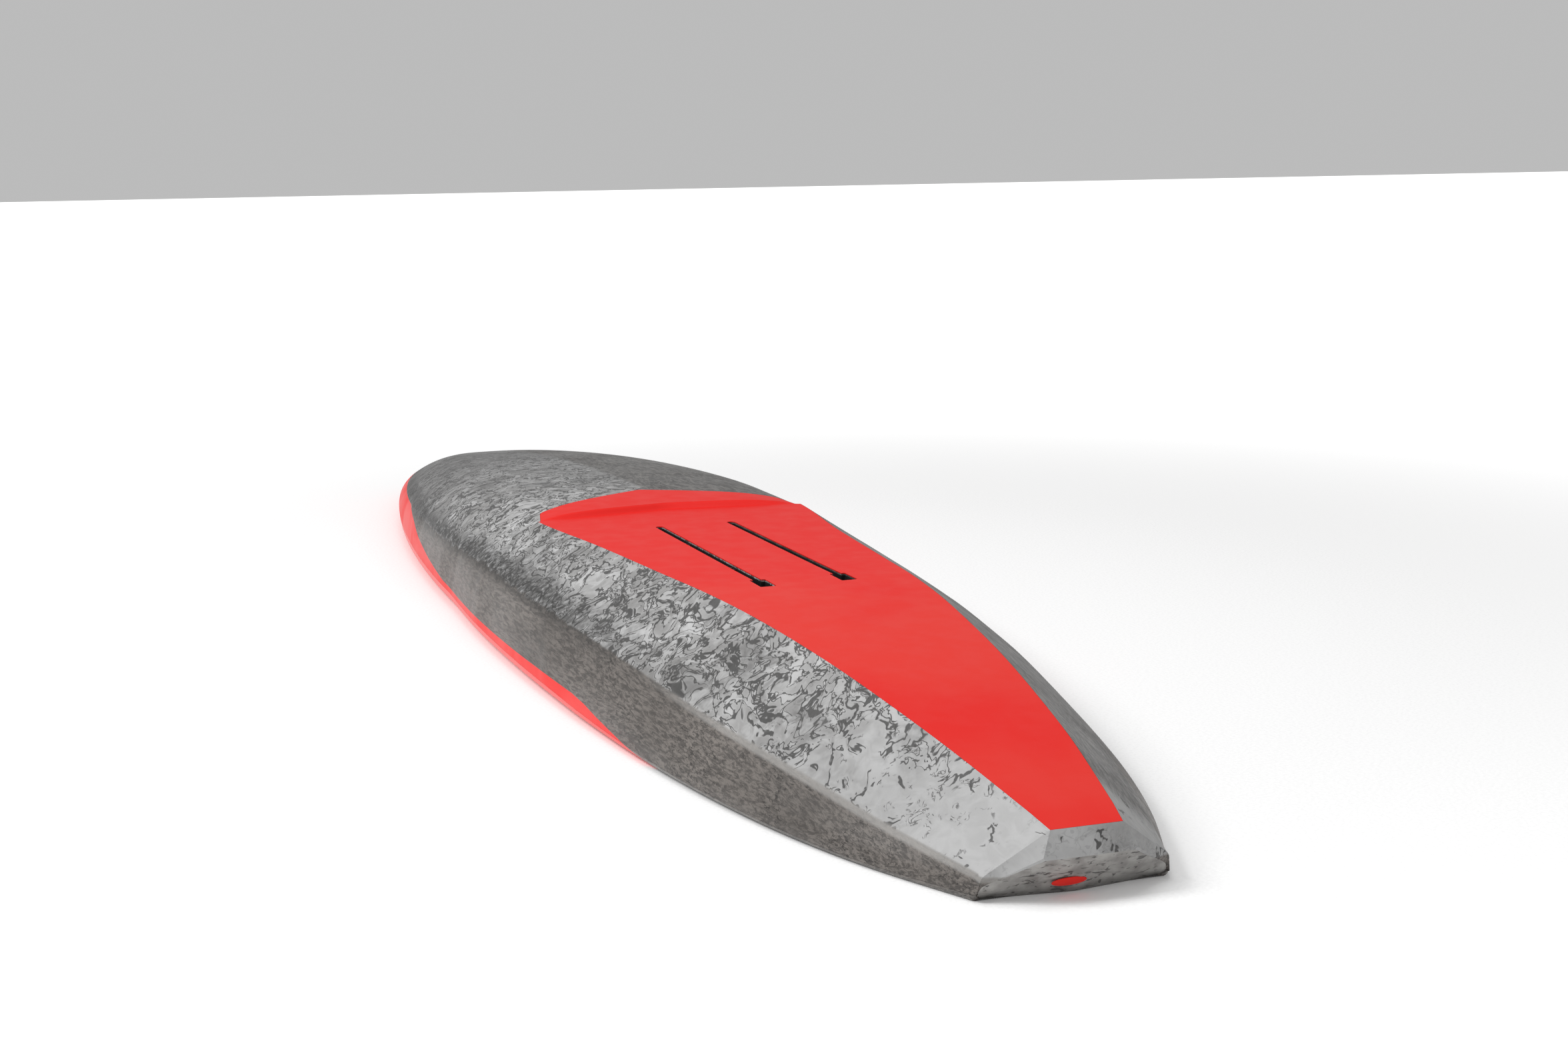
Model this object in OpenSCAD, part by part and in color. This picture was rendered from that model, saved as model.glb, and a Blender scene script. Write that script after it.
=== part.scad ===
// Foil board, lying deck down with its bottom and foil tracks up.
// X runs from tail to nose, Y across the board, Z up out of the bottom.
// The origin is under the middle of the board, on the plane that the deck rim rests on.

/* [Board] */
// Overall length
board_l = 2438; // [2400:1:2480]
// Overall width
board_w = 504; // [494:1:514]
// Height of the flat bottom above the deck rim
board_t = 141; // [139:0.5:144]
// Thickness of the carbon sandwich skins
skin_t = 2.6; // [2.4:0.1:2.8]
// Thickness of the red panel let into the bottom
panel_t = 1; // [0.8:0.1:1.2]
// Depth of the standing area below the deck rim
recess_d = 8; // [7.5:0.1:8.5]
// Glue line between the skins, the core and the pieces inside
bond = 0.4; // [0.3:0.05:0.5]

/* [Foil tracks] */
// Distance between the two tracks, centre to centre
track_gap = 90; // [88:1:92]
// Front end of both slots
slot_front = -177; // [-180:1:-175]
// Length of each slot
slot_l = 404; // [402:1:406]
// Width of each slot
slot_w = 9; // [8.8:0.1:9.3]
// Length of the wider gate at the rear of each slot
gate_l = 37; // [34:1:40]
// Width of the gate and of the channel under the slot
gate_w = 17; // [16.8:0.1:17.4]
// Distance between the front and the rear nuts
nut_pitch = 165; // [163:1:167]
// Wall radius of the M8 thread in each nut
nut_thread_r = 3.4; // [3.3:0.05:3.5]

/* [Deck fittings] */
// Length of the carry handle cup
handle_l = 176; // [170:1:180]
// Width of the carry handle cup
handle_w = 76; // [74:1:78]
// Thickness of the deck pads
pad_t = 5; // [4:0.5:6]
// Distance between the front and the rear foot-strap inserts
strap_pitch = 340; // [336:1:344]
// Distance between the left and the right foot-strap inserts
strap_span = 200; // [198:1:204]
// Wall radius of the M6 thread in each foot-strap insert
strap_thread_r = 2.5; // [2.4:0.05:2.6]

/* [Hidden] */
$fn = 48;

kx = board_l / 2438;
ky = board_w / 504;
kz = board_t / 141;

// Table of offsets, one row a station: x, then half-width and height of the edge of the flat bottom,
// of the chine and of the widest line of the rail. Tail first, in millimetres.
OFFSETS = [
    [-1190, 36, 66, 83, 23, 86, 6],
    [-1080, 54, 90, 115, 36, 134, 5],
    [-980, 68, 107, 138, 47, 167, 6],
    [-880, 81, 121, 159, 56, 191, 7],
    [-780, 93, 131, 177, 64, 209, 8],
    [-680, 105, 138, 192, 72, 223, 10],
    [-580, 116, 141, 204, 78, 233, 12],
    [-480, 126, 141, 215, 83, 241, 15],
    [-280, 146, 141, 231, 89, 250, 18],
    [-80, 171, 141, 240, 93, 252, 20],
    [120, 171, 141, 240, 86, 246, 21]
];
midship_x = 120;
nose_x = 1219;
tip_z = 44;
chine_lag = 14;

// Step across the bottom ahead of the tracks, and the chevron end of the red panel.
step_x = -82;
step_run = 10;
step_sweep = 26;
flat_ratio = 0.7;
shoulder_x = -32;
shoulder_ratio = 0.65;
panel_tip_x = 56;
panel_tip_ratio = 0.012;
wall_lean = 0.3;
panel_gap = 0.8;

tail_stations = [for (i = [0:14]) -1184 + i * 73.2];
nose_stations = [for (i = [1:20]) panel_tip_x + (nose_x - panel_tip_x) * sin(i * 4.2)];
stations = concat(
    tail_stations,
    [step_x, step_x + step_run, shoulder_x, (shoulder_x + panel_tip_x) / 2, panel_tip_x, panel_tip_x + 0.6],
    nose_stations
);

function clamp01(v) = max(0, min(1, v));
function mix(a, b, t) = a + (b - a) * t;
function ease(v) = clamp01(v) * clamp01(v) * (3 - 2 * clamp01(v));

// Smooth curve through one column of the table, its slopes taken from the rows on either side.
function slope(col, i) =
    let (a = max(i - 1, 0), b = min(i + 1, len(OFFSETS) - 1))
    (OFFSETS[b][col] - OFFSETS[a][col]) / (OFFSETS[b][0] - OFFSETS[a][0]);
function row_at(x, i = 0) = (i >= len(OFFSETS) - 2 || x < OFFSETS[i + 1][0]) ? i : row_at(x, i + 1);
function offset_at(col, x) =
    let (
        i = row_at(x),
        span = OFFSETS[i + 1][0] - OFFSETS[i][0],
        t = clamp01((x - OFFSETS[i][0]) / span),
        rise = slope(col, i) * span * (t ^ 3 - 2 * t ^ 2 + t),
        fall = slope(col, i + 1) * span * (t ^ 3 - t ^ 2)
    )
    mix(OFFSETS[i][col], OFFSETS[i + 1][col], t * t * (3 - 2 * t)) + rise + fall;

// Long curves of the hull at station x.
function nose_part(x, tip) = clamp01((x - midship_x) / (tip - midship_x));
function chine_w(x) = x < midship_x ? offset_at(3, x) : 240 * (1 - nose_part(x, nose_x + 4) ^ 2) ^ 0.6;
function chine_z(x) = x < step_x ? offset_at(4, x) : 93 - 44 * (x - step_x) / (nose_x - step_x);
function rail_w(x) = x < midship_x ? offset_at(5, x) : 246 * (1 - nose_part(x, nose_x) ^ 1.9) ^ 0.48;
function rail_z(x) = x < step_x ? offset_at(6, x) : 20 + 24 * ((x - step_x) / (nose_x - step_x)) ^ 1.3;
function keel_z(x) = 149 - 0.000066 * (x - 23) ^ 2;
function deck_z(x) = 26 * clamp01((x - 500) / 719) ^ 2;
function deck_w(x) = rail_w(x) * mix(0.94, 0.9, clamp01((x + 1186) / 900));
function recess(x) = recess_d * ease((x + 1165) / 50) * ease((500 - x) / 80);

// Height of the bottom at station x, t of the way from the keel line to the chine.
function flat_part(x) = x < step_x ? offset_at(1, x) / chine_w(x) : flat_ratio;
function round_z(x, t) = keel_z(x) - (keel_z(x) - chine_z(x)) * t ^ mix(5.2, 2.8, nose_part(x, 1100));
function flat_z(x, t) = x <= step_x ? offset_at(2, x) : round_z(x, t);
function bevel_z(x, t) =
    let (a = flat_part(x))
    mix(flat_z(x, a), chine_z(x), (t - a) / (1 - a));
function bottom_z(x, t) =
    t <= flat_part(x) ? flat_z(x, t)
    : x <= step_x ? bevel_z(x, t)
    : mix(bevel_z(x, t), round_z(x, t), ease((x - step_x) / 300));

// Edge of the red panel, as a part of the way to the chine. Past its tip it only spaces the points.
function panel_part(x) =
    x <= step_x ? flat_part(x)
    : x <= shoulder_x ? mix(flat_ratio, shoulder_ratio, (x - step_x) / (shoulder_x - step_x))
    : mix(shoulder_ratio, panel_tip_ratio, clamp01((x - shoulder_x) / (panel_tip_x - shoulder_x)))
        + 0.35 * ease((x - panel_tip_x) / 400);

// Stations bend towards the nose at the keel to follow the swept step, and back at the very nose.
function sweep(x, t) = step_sweep * clamp01(1 - t / flat_ratio) * ease(1 - abs(x - step_x) / 260);
function lag(x) = chine_lag * ease((x - 900) / (nose_x - 900));

// Points of half a section, from the keel line round to the middle of the deck. In is the offset
// inwards, drop is how deep the rebate for the red panel is cut, and gap moves its edge inwards.
function place(x, y, z) = [x * kx, y * ky, z * kz];
function shift_in(x, in) = x * (1 - 0.00115 * in);
function bottom_t(x) =
    let (e = panel_part(x))
    [0, e / 3, 2 * e / 3, e, e, mix(e, 1, 0.25), mix(e, 1, 0.5), mix(e, 1, 0.75), 1];
function bottom_points(x, in, drop, gap) =
    let (ts = bottom_t(x), c = chine_w(x), a = flat_part(x))
    [for (k = [0:8])
        let (t = ts[k], side = clamp01((t - a) / (1 - a)))
        place(
            shift_in(x + sweep(x, t) - lag(x), in),
            t * c - in * 0.9 * side - (k == 3 ? gap : 0),
            bottom_z(x, t) - in * mix(1, 0.75, side) - (k <= 3 && x <= panel_tip_x ? drop : 0)
        )];
function rail_points(x, in) =
    [for (v = [0.34, 0.67, 1])
        place(
            shift_in(x - lag(x) * (1 - v), in),
            mix(chine_w(x), rail_w(x), sin(90 * v)) - in,
            mix(chine_z(x), rail_z(x), v) - in * 0.75 * (1 - v)
        )];
function tuck_points(x, in) =
    [for (a = [30, 60, 90])
        place(
            shift_in(x - lag(x) * a / 90, in),
            mix(deck_w(x), rail_w(x), cos(a)) - in * (1 - a / 180),
            mix(rail_z(x), deck_z(x), sin(a)) + in * a / 90
        )];
function deck_points(x, in) =
    [for (p = [[0.91, 0], [0.87, 1], [0.45, 1], [0, 1]])
        place(shift_in(x - lag(x), in), deck_w(x) * p[0], deck_z(x) + in + recess(x) * p[1])];
function half_section(x, in, drop = 0, gap = wall_lean) =
    concat(bottom_points(x, in, drop, gap), rail_points(x, in), tuck_points(x, in), deck_points(x, in));

// The same points where the tail ends, as corners: keel, panel edge, chine, widest line, deck edge and
// middle of the deck. One row is the crease at the end of the bottom, the other the transom's edge.
CREASE = [[-1211, 0, 60], [-1211, 32, 60], [-1194, 83, 22], [-1190, 86, 6], [-1182, 80, 0], [-1187, 0, 0]];
TRANSOM = [[-1219, 0, 40], [-1218, 41, 40], [-1191, 83, 13], [-1188, 85, 6], [-1181, 78, 0], [-1191, 0, 0]];
function between(a, b, parts) = [for (t = parts) a + (b - a) * t];
function filled(row) = concat(
    between(row[0], row[1], [0, 0.33, 0.66, 0.98, 1]),
    between(row[1], row[2], [0.25, 0.5, 0.75, 1]),
    between(row[2], row[3], [0.34, 0.67, 1]),
    between(row[3], row[4], [0.34, 0.67, 1]),
    between(row[4], row[5], [0.09, 0.13, 0.55, 1])
);
function shrunk(row, in, push) =
    [for (p = filled(row)) place(p[0] + push * in, p[1] * (1 - in / 60), mix(p[2], 20, in / 24))];
function rebated(row, drop) =
    [for (k = [0:len(row) - 1]) row[k] + (k <= 3 ? [wall_lean, 0, -drop] : [0.05, 0, 0])];

// Whole strips across the board, from the starboard edge to the port edge over the bottom, or from the
// port edge to the starboard edge over the deck. Mirrored from points from..to of the half sections.
function cut_out(row, from, to) = [for (k = [from:to]) row[k]];
function backwards(list) = [for (i = [len(list) - 1:-1:0]) list[i]];
function without_first(list) = [for (i = [1:len(list) - 1]) list[i]];
function without_last(list) = [for (i = [0:len(list) - 2]) list[i]];
function port(row) = [for (p = row) [p[0], -p[1], p[2]]];
function over_bottom(row) = concat(backwards(row), port(without_first(row)));
function over_deck(row) = concat(port(row), without_first(backwards(row)));
function ring(row) = concat(backwards(row), port(without_first(without_last(row))));
function half_rows(in, drop) = concat(
    [shrunk(TRANSOM, in, 0), shrunk(CREASE, in, 1.5), rebated(shrunk(CREASE, in, 1.5), drop)],
    [for (x = stations) half_section(x, in, drop)]
);
function parted(rows, by) =
    [for (r = rows) [for (j = [0:len(r) - 1]) r[j] + [0, 0, j == 0 || j == len(r) - 1 ? by : 0]]];
function tip(in, by) = place(nose_x - in * 1.6, 0, tip_z + by);

// Faces of a grid of points, rows n by points m, from vertex number base on.
function quad(a, b, c, d) = [[a, b, c], [a, c, d]];
function grid_faces(n, m, base, wrap = false) =
    [for (i = [0:n - 2]) for (j = [0:m - (wrap ? 1 : 2)])
        let (a = base + i * m + j, b = base + i * m + (j + 1) % m)
        each quad(a, b, b + m, a + m)];
function flip(faces) = [for (f = faces) backwards(f)];
function flat_list(rows) = [for (r = rows) each r];

// Closed shell between two grids of the same size, outer and inner. Tips is empty for a blunt front
// end, or the two points that the grids run out to at the nose.
module shell(outer, inner, tips = []) {
    n = len(outer);
    m = len(outer[0]);
    in0 = n * m;
    front = (n - 1) * m;
    point = 2 * n * m;
    skins = concat(grid_faces(n, m, 0), flip(grid_faces(n, m, in0)));
    one_side = [for (i = [0:n - 2]) each quad(i * m, i * m + m, in0 + i * m + m, in0 + i * m)];
    other_side = [for (i = [1:n - 1])
        let (p = i * m - 1)
        each quad(p + m, p, in0 + p, in0 + p + m)];
    tail = [for (j = [0:m - 2]) each quad(j + 1, j, in0 + j, in0 + j + 1)];
    blunt = [for (j = [front:front + m - 2]) each quad(j, j + 1, in0 + j + 1, in0 + j)];
    pointed = concat(
        [for (j = [front:front + m - 2]) [j, j + 1, point]],
        [for (j = [front:front + m - 2]) [in0 + j + 1, in0 + j, point + 1]],
        quad(front, point, point + 1, in0 + front),
        quad(front + m - 1, in0 + front + m - 1, point + 1, point)
    );
    polyhedron(
        concat(flat_list(outer), flat_list(inner), tips),
        flip(concat(skins, one_side, other_side, tail, len(tips) > 0 ? pointed : blunt))
    );
}

// Solid body through closed rings of points, with a point at each end.
module loft(rings, tail_point, nose_point) {
    n = len(rings);
    m = len(rings[0]);
    front = (n - 1) * m;
    tail = [for (j = [0:m - 1]) [(j + 1) % m, j, n * m]];
    nose = [for (j = [0:m - 1]) [front + j, front + (j + 1) % m, n * m + 1]];
    polyhedron(
        concat(flat_list(rings), [tail_point, nose_point]),
        flip(concat(grid_faces(n, m, 0, true), tail, nose))
    );
}

// Shared heights and places. The deck floor is the outside of the deck skin in the standing area.
deck_floor = recess_d * kz;
core_floor = (recess_d + skin_t + bond) * kz;
core_top = board_t - (skin_t + bond) * kz;
sheet_t = 5;
block_floor = core_floor + sheet_t + 2 * bond;
slot_rear = slot_front - slot_l;
pattern_x = slot_front - 110.5;
sides = [-1, 1];

lip_t = 5;
channel_h = 8.6;
track_size = 26;
nut_l = 24;
nut_w = 16;
nut_h = 8;
nut_floor = core_top - lip_t - channel_h + 0.3;
boss_top = core_top - 0.8;

handle_depth = 42;
handle_wall = 2;
grip_w = 26;
grip_h = 17;
flange_t = 1.4;
flange_z = deck_floor - 0.3 - flange_t;

leash_x = -1092;
leash_r = 12.5;
leash_depth = 22;
vent_x = 335;
vent_r = 8;
plug_r = 5;
strap_x = -330;
strap_r = 7;
strap_deep = 20;
pad_z = deck_floor - 0.3 - pad_t;

module box_at(x1, x2, half_w, z1, z2) {
    translate([x1, -half_w, z1]) cube([x2 - x1, 2 * half_w, z2 - z1]);
}

// Upright polygonal peg, its flats r from the middle. Used for holes that are glued full.
module peg(x, y, r, z1, z2) {
    translate([x, y, z1]) cylinder(h = z2 - z1, r = r / cos(15), $fn = 12);
}

module straps() {
    for (i = sides, j = sides) translate([strap_x + i * strap_pitch / 2, j * strap_span / 2, 0]) children();
}

module slots(w, gate, z1, z2) {
    for (j = sides) translate([0, j * track_gap / 2, 0]) {
        box_at(slot_rear + w / 2, slot_front - w / 2, w / 2, z1, z2);
        for (x = [slot_rear + w / 2, slot_front - w / 2]) peg(x, 0, w / 2 * cos(15), z1, z2);
        box_at(slot_rear - (gate - gate_w) / 2, slot_rear + gate_l, gate / 2, z1, z2);
    }
}

// Upright sheet on the centre line between two stations, spare all round, up through the core.
module keel_sheet(x1, x2, t, spare, up) {
    steps = 12;
    xs = [for (i = [0:steps]) x1 - spare + (x2 - x1 + 2 * spare) * i / steps];
    low = [for (x = xs) [x * kx, (deck_z(x) + recess(x)) * kz + skin_t + 2 + bond - spare]];
    high = [for (x = backwards(xs)) [x * kx, keel_line(x) * kz - skin_t - 3 + up]];
    translate([0, t / 2, 0]) rotate([90, 0, 0]) linear_extrude(t) polygon(concat(low, high));
}
function keel_line(x) = x < step_x ? flat_z(x, 0) : keel_z(x);

module foam_core() {
    rows = without_first(half_rows(skin_t + bond, 0));
    rings = [for (i = [0:len(rows) - 1]) if (i != 1) ring(rows[i])];
    color("#e8e4d8") difference() {
        loft(rings, place(-1196, 0, 25), tip(skin_t + bond + 0.6, 0));
        keel_sheet(-1050, -620, 5 + 2 * bond, bond, 40);
        keel_sheet(390, 1120, 5 + 2 * bond, bond, 40);
        box_at(-600 - bond, -160 + bond, 75 + bond, core_floor, board_t);
        box_at(-560 - bond, 290 + bond, 160 + bond, 0, core_floor + sheet_t + bond);
        box_at(-112 - bond, 112 + bond, 56 + bond, 0, 62 + bond);
        box_at(vent_x - 25 - bond, vent_x + 25 + bond, 25 + bond, 0, 34 + bond);
        box_at(leash_x - 25 - bond, leash_x + 25 + bond, 25 + bond, 0, 42 + bond);
        straps() box_at(-22 - bond, 22 + bond, 18 + bond, 0, 42 + bond);
    }
}

module tail_stringer() {
    color("#c9a26a") keel_sheet(-1050, -620, 5, 0, 0);
}

module nose_stringer() {
    color("#c9a26a") keel_sheet(390, 1120, 5, 0, 0);
}

module track_block() {
    spare = 10 + bond;
    color("#d8c27a") difference() {
        box_at(-600, -160, 75, block_floor, core_top - bond);
        for (j = sides) translate([0, j * track_gap / 2, core_top - track_size - bond])
            box_at(slot_rear - spare, slot_front + spare, track_size / 2 + bond, 0, board_t);
    }
}

module handle_block() {
    color("#d8c27a") difference() {
        box_at(-112, 112, 56, block_floor, 62);
        cup_room(flange_z + handle_depth + bond);
    }
}

module strap_blocks() {
    color("#d8c27a") straps() difference() {
        box_at(-22, 22, 18, block_floor, 42);
        peg(0, 0, strap_r + bond, 0, deck_floor + strap_deep + bond);
    }
}

module vent_block() {
    color("#d8c27a") difference() {
        box_at(vent_x - 25, vent_x + 25, 25, core_floor, 34);
        peg(vent_x, 0, vent_r + bond, 0, 26 + bond);
    }
}

module leash_block() {
    color("#d8c27a") difference() {
        box_at(leash_x - 25, leash_x + 25, 25, core_floor, 42);
        peg(leash_x, 0, leash_r + bond, 0, flange_z + leash_depth + bond);
    }
}

module deck_stiffener() {
    color("#b9b2a2") difference() {
        box_at(-560, 290, 160, core_floor, core_floor + sheet_t);
        cup_room(board_t);
        straps() peg(0, 0, strap_r + bond, 0, board_t);
    }
}

module bottom_skin() {
    outer = [for (r = half_rows(0, panel_t + 0.25)) over_bottom(cut_out(r, 0, 11))];
    inner = [for (r = half_rows(skin_t, 0)) over_bottom(cut_out(r, 0, 11))];
    color("#8d8b88") difference() {
        shell(parted(outer, 0.1), parted(inner, 0.1), [tip(0, 0.1), tip(skin_t, 0.1)]);
        slots(slot_w + 0.6, gate_w + 0.6, core_top, board_t + 5);
    }
}

module bottom_panel() {
    start = [for (p = cut_out(shrunk(CREASE, 0, 0), 0, 3)) p + [panel_gap, 0, 0]];
    xs = [for (x = stations) if (x <= panel_tip_x) x];
    top = concat([start], [for (x = xs) cut_out(half_section(x, 0, 0, panel_gap), 0, 3)]);
    under = [for (r = top) [for (p = r) p - [0, 0, panel_t]]];
    color("#ee3a2e") difference() {
        shell([for (r = top) over_bottom(r)], [for (r = under) over_bottom(r)]);
        slots(slot_w + 0.6, gate_w + 0.6, core_top, board_t + 5);
    }
}

module deck_skin() {
    outer = [for (r = half_rows(0, 0)) over_deck(cut_out(r, 11, 18))];
    inner = [for (r = half_rows(skin_t, 0)) over_deck(cut_out(r, 11, 18))];
    color("#76716c") difference() {
        shell(parted(outer, -0.1), parted(inner, -0.1), [tip(0, -0.1), tip(skin_t, -0.1)]);
        cup_room(board_t / 2);
        peg(vent_x, 0, vent_r + bond, 0, board_t / 2);
        peg(leash_x, 0, leash_r + bond, 0, board_t / 2);
        straps() peg(0, 0, strap_r + bond, 0, board_t / 2);
    }
}

module transom_skin() {
    row = shrunk(TRANSOM, skin_t + 3 * bond, 0.1);
    rim = ring(row);
    color("#8d8b88") loft([rim, [for (p = rim) p + [3, 0, 0]]], place(-1204, 0, 20), place(-1201, 0, 20));
}

module tail_badge() {
    color("#e03a30") translate([-1197.1 * kx, 9, 12 * kz]) rotate([0, 0, -6]) rotate([0, -128, 0])
        linear_extrude(0.6) {
            square([10, 20], center = true);
            for (j = sides) translate([0, 10 * j]) circle(r = 5);
        }
}

module track() {
    lip = core_top - lip_t;
    slot_end = slot_front - slot_w / 2;
    color("#1b1b1c") difference() {
        box_at(slot_rear - 10, slot_front + 10, track_size / 2, core_top - track_size, core_top);
        box_at(slot_rear + slot_w / 2, slot_end, slot_w / 2, lip - 1, core_top + 1);
        translate([slot_end, 0, lip - 1]) cylinder(h = lip_t + 2, r = slot_w / 2);
        box_at(slot_rear, slot_rear + gate_l, gate_w / 2, lip - 1, core_top + 1);
        box_at(slot_rear - 2, slot_front + 2, gate_w / 2, lip - channel_h, lip);
        box_at(slot_rear - 2, slot_front + 2, 4.8, lip - channel_h - 8, lip);
    }
}

module track_left() {
    translate([0, -track_gap / 2, 0]) track();
}

module track_right() {
    translate([0, track_gap / 2, 0]) track();
}

// Track nut with its boss up in the slot, threaded right through.
module track_nut(x, y) {
    color("#2a2a2c") translate([x, y, 0]) difference() {
        union() {
            box_at(-nut_l / 2, nut_l / 2, nut_w / 2, nut_floor, nut_floor + nut_h);
            box_at(-8, 8, slot_w / 2 - 0.3, nut_floor + nut_h - 1, boss_top);
        }
        translate([0, 0, nut_floor - 1]) cylinder(h = nut_h + 20, r = nut_thread_r);
    }
}

module track_nut_front_left() {
    track_nut(pattern_x, -track_gap / 2);
}

module track_nut_rear_left() {
    track_nut(pattern_x - nut_pitch, -track_gap / 2);
}

module track_nut_front_right() {
    track_nut(pattern_x, track_gap / 2);
}

module track_nut_rear_right() {
    track_nut(pattern_x - nut_pitch, track_gap / 2);
}

// Room that the handle cup takes in the pieces it is glued into.
module cup_room(top) {
    box_at(-handle_l / 2 - bond, handle_l / 2 + bond, handle_w / 2 + bond, 0, top);
}

// Cup let into the deck, mouth down, with a thin flange that covers the cut edge of the skin.
module handle_cup() {
    color("#232325") difference() {
        union() {
            box_at(-handle_l / 2 - 5, handle_l / 2 + 5, handle_w / 2 + 5, flange_z, flange_z + flange_t);
            box_at(-handle_l / 2, handle_l / 2, handle_w / 2, flange_z, flange_z + handle_depth);
        }
        box_at(
            -handle_l / 2 + handle_wall,
            handle_l / 2 - handle_wall,
            handle_w / 2 - handle_wall,
            flange_z - 1,
            flange_z + handle_depth - handle_wall
        );
    }
}

// Rounded bar along the middle of the cup, with finger room on both sides and behind it.
module handle_grip() {
    long = handle_l - 2 * handle_wall - 0.1;
    r = grip_h / 2;
    color("#3a3a3d") translate([-long / 2, 0, flange_z + r]) rotate([90, 0, 90]) linear_extrude(long) {
        square([grip_w - grip_h, grip_h], center = true);
        for (j = sides) translate([j * (grip_w - grip_h) / 2, 0]) circle(r = r);
    }
}

module leash_cup() {
    color("#232325") translate([leash_x, 0, flange_z]) difference() {
        union() {
            cylinder(h = flange_t, r = leash_r + 3.5);
            cylinder(h = leash_depth, r = leash_r);
        }
        translate([0, 0, -1]) cylinder(h = leash_depth - 1, r = leash_r - 2);
        translate([0, -20, 7]) rotate([-90, 0, 0]) cylinder(h = 40, r = 1.55);
    }
}

module leash_pin() {
    color("#b8bbc0") translate([leash_x, -12, flange_z + 7]) rotate([-90, 0, 0]) cylinder(h = 24, r = 1.5);
}

// Vent through the deck: a flanged bushing, a membrane at its inner end and a screw plug with an O-ring.
module vent_insert() {
    color("#55585c") translate([vent_x, 0, flange_z]) difference() {
        union() {
            cylinder(h = flange_t, r = vent_r + 3.5);
            cylinder(h = 26 - flange_z, r = vent_r);
        }
        translate([0, 0, -1]) cylinder(h = 14, r = plug_r);
        translate([0, 0, 12]) cylinder(h = 3, r = 2);
        translate([0, 0, 14]) cylinder(h = 10, r = 6.2);
    }
}

module vent_membrane() {
    color("#f2f2f0") translate([vent_x, 0, flange_z + 14.05]) cylinder(h = 0.5, r = 6.1);
}

module vent_oring() {
    color("#141414") translate([vent_x, 0, flange_z - 0.9]) rotate_extrude()
        translate([6.2, 0]) circle(r = 0.8, $fn = 24);
}

module vent_plug() {
    head_top = flange_z - 1.8;
    color("#1f2022") translate([vent_x, 0, 0]) difference() {
        union() {
            translate([0, 0, head_top - 2.2]) cylinder(h = 2.2, r = 8);
            translate([0, 0, head_top - 0.5]) cylinder(h = 12, r = plug_r - 0.05);
        }
        box_at(-6, 6, 0.8, head_top - 3, head_top - 1.2);
    }
}

module strap_inserts() {
    color("#c4a24c") straps() difference() {
        translate([0, 0, deck_floor]) cylinder(h = strap_deep, r = strap_r);
        translate([0, 0, deck_floor - 1]) cylinder(h = strap_deep - 2, r = strap_thread_r);
    }
}

// Flat pad between two stations, its long edges a little inside the edge of the standing area.
module pad(x1, x2) {
    xs = [for (i = [0:8]) x1 + (x2 - x1) * i / 8];
    edge = [for (x = xs) [x * kx, deck_w(x) * ky * 0.85]];
    other_edge = [for (p = backwards(edge)) [p[0], -p[1]]];
    translate([0, 0, pad_z]) linear_extrude(pad_t) polygon(concat(edge, other_edge));
}

module front_pad() {
    color("#3d4043") difference() {
        pad(125, 388);
        peg(vent_x, 0, vent_r + 6, 0, deck_floor);
    }
}

module middle_pad() {
    color("#3d4043") difference() {
        pad(-312, 117);
        box_at(-handle_l / 2 - 7, handle_l / 2 + 7, handle_w / 2 + 7, 0, deck_floor);
        straps() peg(0, 0, strap_r, 0, deck_floor);
    }
}

module rear_pad() {
    color("#3d4043") difference() {
        pad(-1066, -320);
        straps() peg(0, 0, strap_r, 0, deck_floor);
    }
}

foam_core();
tail_stringer();
nose_stringer();
track_block();
handle_block();
strap_blocks();
vent_block();
leash_block();
deck_stiffener();
bottom_skin();
bottom_panel();
deck_skin();
transom_skin();
tail_badge();
track_left();
track_right();
track_nut_front_left();
track_nut_rear_left();
track_nut_front_right();
track_nut_rear_right();
handle_cup();
handle_grip();
leash_cup();
leash_pin();
vent_insert();
vent_membrane();
vent_oring();
vent_plug();
strap_inserts();
front_pad();
middle_pad();
rear_pad();
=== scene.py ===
"""Looks of the foil board: fine skins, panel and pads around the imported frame."""

import math

import bpy
import numpy as np
from mathutils import Matrix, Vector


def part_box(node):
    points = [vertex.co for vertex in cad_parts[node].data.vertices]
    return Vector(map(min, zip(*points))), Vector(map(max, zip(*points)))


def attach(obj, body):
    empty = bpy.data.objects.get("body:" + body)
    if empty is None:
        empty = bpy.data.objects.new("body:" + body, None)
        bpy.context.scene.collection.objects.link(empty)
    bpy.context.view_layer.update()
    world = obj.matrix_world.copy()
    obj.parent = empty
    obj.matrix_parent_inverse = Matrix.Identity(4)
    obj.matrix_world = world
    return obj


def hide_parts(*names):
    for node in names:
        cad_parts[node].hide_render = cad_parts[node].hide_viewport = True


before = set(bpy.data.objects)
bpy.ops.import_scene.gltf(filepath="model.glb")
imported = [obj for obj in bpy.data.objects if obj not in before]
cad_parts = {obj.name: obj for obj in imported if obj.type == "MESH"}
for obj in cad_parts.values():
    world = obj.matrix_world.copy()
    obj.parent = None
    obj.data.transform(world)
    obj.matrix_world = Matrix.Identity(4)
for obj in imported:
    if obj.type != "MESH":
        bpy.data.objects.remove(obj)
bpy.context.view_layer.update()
HULL = "hull"

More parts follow.
